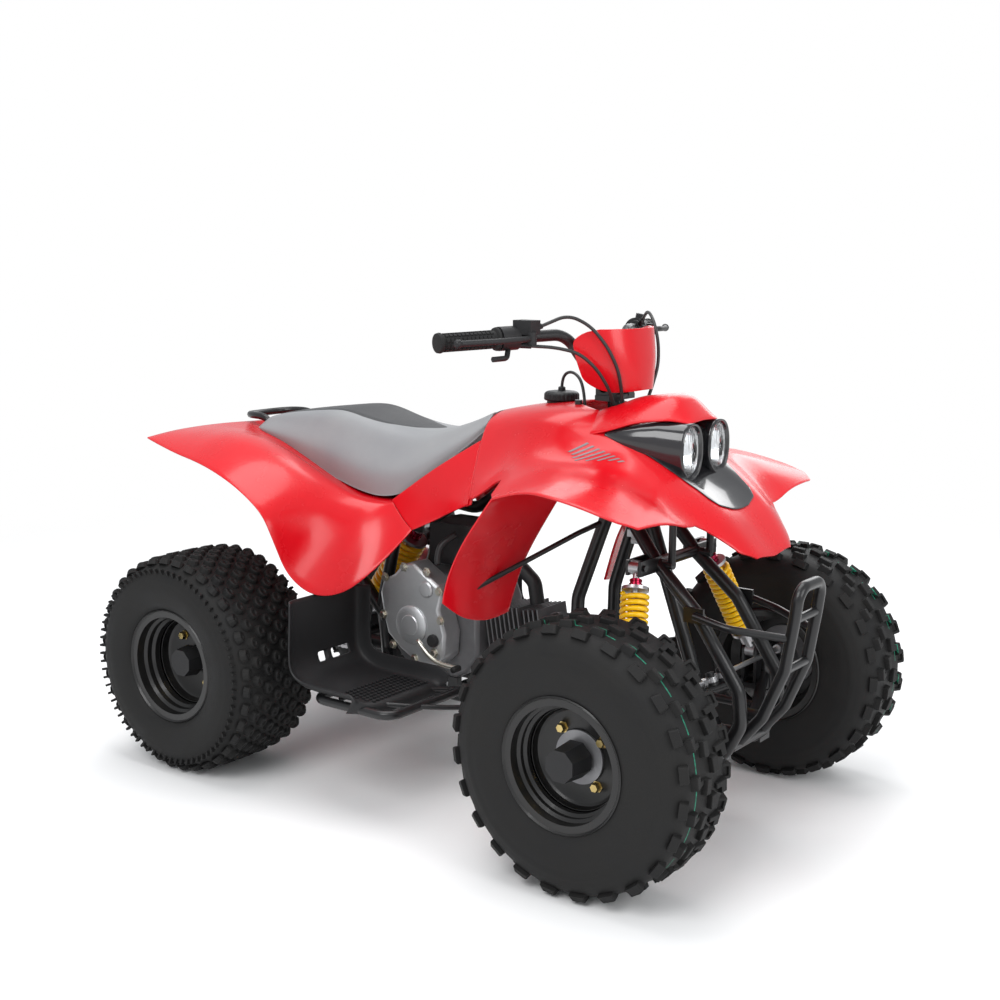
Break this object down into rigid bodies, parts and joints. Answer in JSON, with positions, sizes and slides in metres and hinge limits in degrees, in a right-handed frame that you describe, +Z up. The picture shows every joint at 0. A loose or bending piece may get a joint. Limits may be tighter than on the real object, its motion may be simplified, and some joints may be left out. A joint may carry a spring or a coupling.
{
  "type": "youth quad bike",
  "caption": "Small red quad bike with knobbly tyres, yellow springs, a grey and black seat, twin upright lamps and a narrow front bumper.",
  "frame": {"origin": "middle of the bounding box on the ground", "axes": "+X forward along the machine, +Y to the rider's left, +Z up"},
  "size_m": [1.4575, 0.926, 0.9627],
  "materials": {
    "red_plastic": "glossy",
    "black_plastic": "matte",
    "smoke_plastic": "glossy",
    "clear_lens": "clear",
    "red_lens": "clear",
    "seat_cover": "satin",
    "tyre_rubber": "matte",
    "grip_rubber": "matte",
    "black_paint": "satin",
    "steel": "satin",
    "alloy": "satin",
    "yellow_paint": "glossy"
  },
  "bodies": {
    "chassis": {"engine_sprocket": "steel", "drive_chain": "steel", "suspension_arms": "black_paint", "shock_absorbers": "steel", "coil_springs": "yellow_paint", "swingarm": "black_paint", "frame": "black_paint", "cover_posts": "black_paint", "front_bumper": "black_paint", "engine_case": "alloy", "engine_cover": "alloy", "engine_cylinder": "alloy", "intake": "black_plastic", "exhaust": "steel", "seat": "seat_cover", "front_fairing": "red_plastic", "rear_fairing": "red_plastic", "footwells": "black_plastic", "lamp_cowl": "smoke_plastic", "headlamps": "clear_lens", "fuel_cap": "black_plastic", "tail_lamp": "red_lens", "rectifier": "alloy", "fender_stays": "black_paint"},
    "steering": {"control_left": "black_plastic", "control_right": "black_plastic", "steering_stem": "black_paint", "handlebar": "black_paint", "grips": "grip_rubber", "bar_cover": "red_plastic", "brake_cable": "black_plastic", "throttle_cable": "black_plastic", "left_brake_cable": "black_plastic"},
    "knuckle_left": {"knuckle_left": "black_paint"},
    "knuckle_right": {"knuckle_right": "black_paint"},
    "tie_rod_left": {"tie_rod_left": "steel"},
    "tie_rod_right": {"tie_rod_right": "steel"},
    "front_wheel_left": {"front_rim_left": "black_paint", "front_tyre_left": "tyre_rubber", "front_hub_left": "steel", "hub_cap_left": "black_plastic"},
    "front_wheel_right": {"front_rim_right": "black_paint", "front_tyre_right": "tyre_rubber", "front_hub_right": "steel", "hub_cap_right": "black_plastic"},
    "rear_wheels": {"rear_rims": "black_paint", "rear_tyres": "tyre_rubber", "rear_caps": "black_plastic", "rear_axle": "steel", "rear_sprocket": "steel", "brake_disc": "steel"}
  },
  "joints": [
    {"name": "steering", "type": "hinge", "parent": "chassis", "child": "steering", "pos_m": [0.49121, 0, 0.27], "axis": [-0.342, 0, 0.9397], "range_deg": [-30, 30]},
    {"name": "rear_axle_spin", "type": "hinge", "parent": "chassis", "child": "rear_wheels", "pos_m": [-0.5, 0, 0.2285], "axis": [0, 1, 0], "continuous": true},
    {"name": "kingpin_left", "type": "hinge", "parent": "chassis", "child": "knuckle_left", "pos_m": [0.488, 0.29, 0.241], "axis": [0, 0, 1], "range_deg": [-30, 30]},
    {"name": "wheel_spin_left", "type": "hinge", "parent": "knuckle_left", "child": "front_wheel_left", "pos_m": [0.488, 0.375, 0.241], "axis": [0, 1, 0], "continuous": true},
    {"name": "tie_rod_eye_left", "type": "hinge", "parent": "steering", "child": "tie_rod_left", "pos_m": [0.53066, 0.02, 0.29319], "axis": [-0.342, 0, 0.9397], "range_deg": [-32.4, 32.4]},
    {"name": "kingpin_right", "type": "hinge", "parent": "chassis", "child": "knuckle_right", "pos_m": [0.488, -0.29, 0.241], "axis": [0, 0, 1], "range_deg": [-30, 30]},
    {"name": "wheel_spin_right", "type": "hinge", "parent": "knuckle_right", "child": "front_wheel_right", "pos_m": [0.488, -0.375, 0.241], "axis": [0, 1, 0], "continuous": true},
    {"name": "tie_rod_eye_right", "type": "hinge", "parent": "steering", "child": "tie_rod_right", "pos_m": [0.53066, -0.02, 0.29319], "axis": [-0.342, 0, 0.9397], "range_deg": [-32.4, 32.4]}
  ],
  "couplings": [
    {"joint": "kingpin_left", "follows": "steering", "ratio": 1},
    {"joint": "tie_rod_eye_left", "follows": "steering", "ratio": -1.08},
    {"joint": "kingpin_right", "follows": "steering", "ratio": 1},
    {"joint": "tie_rod_eye_right", "follows": "steering", "ratio": -1.08}
  ]
}
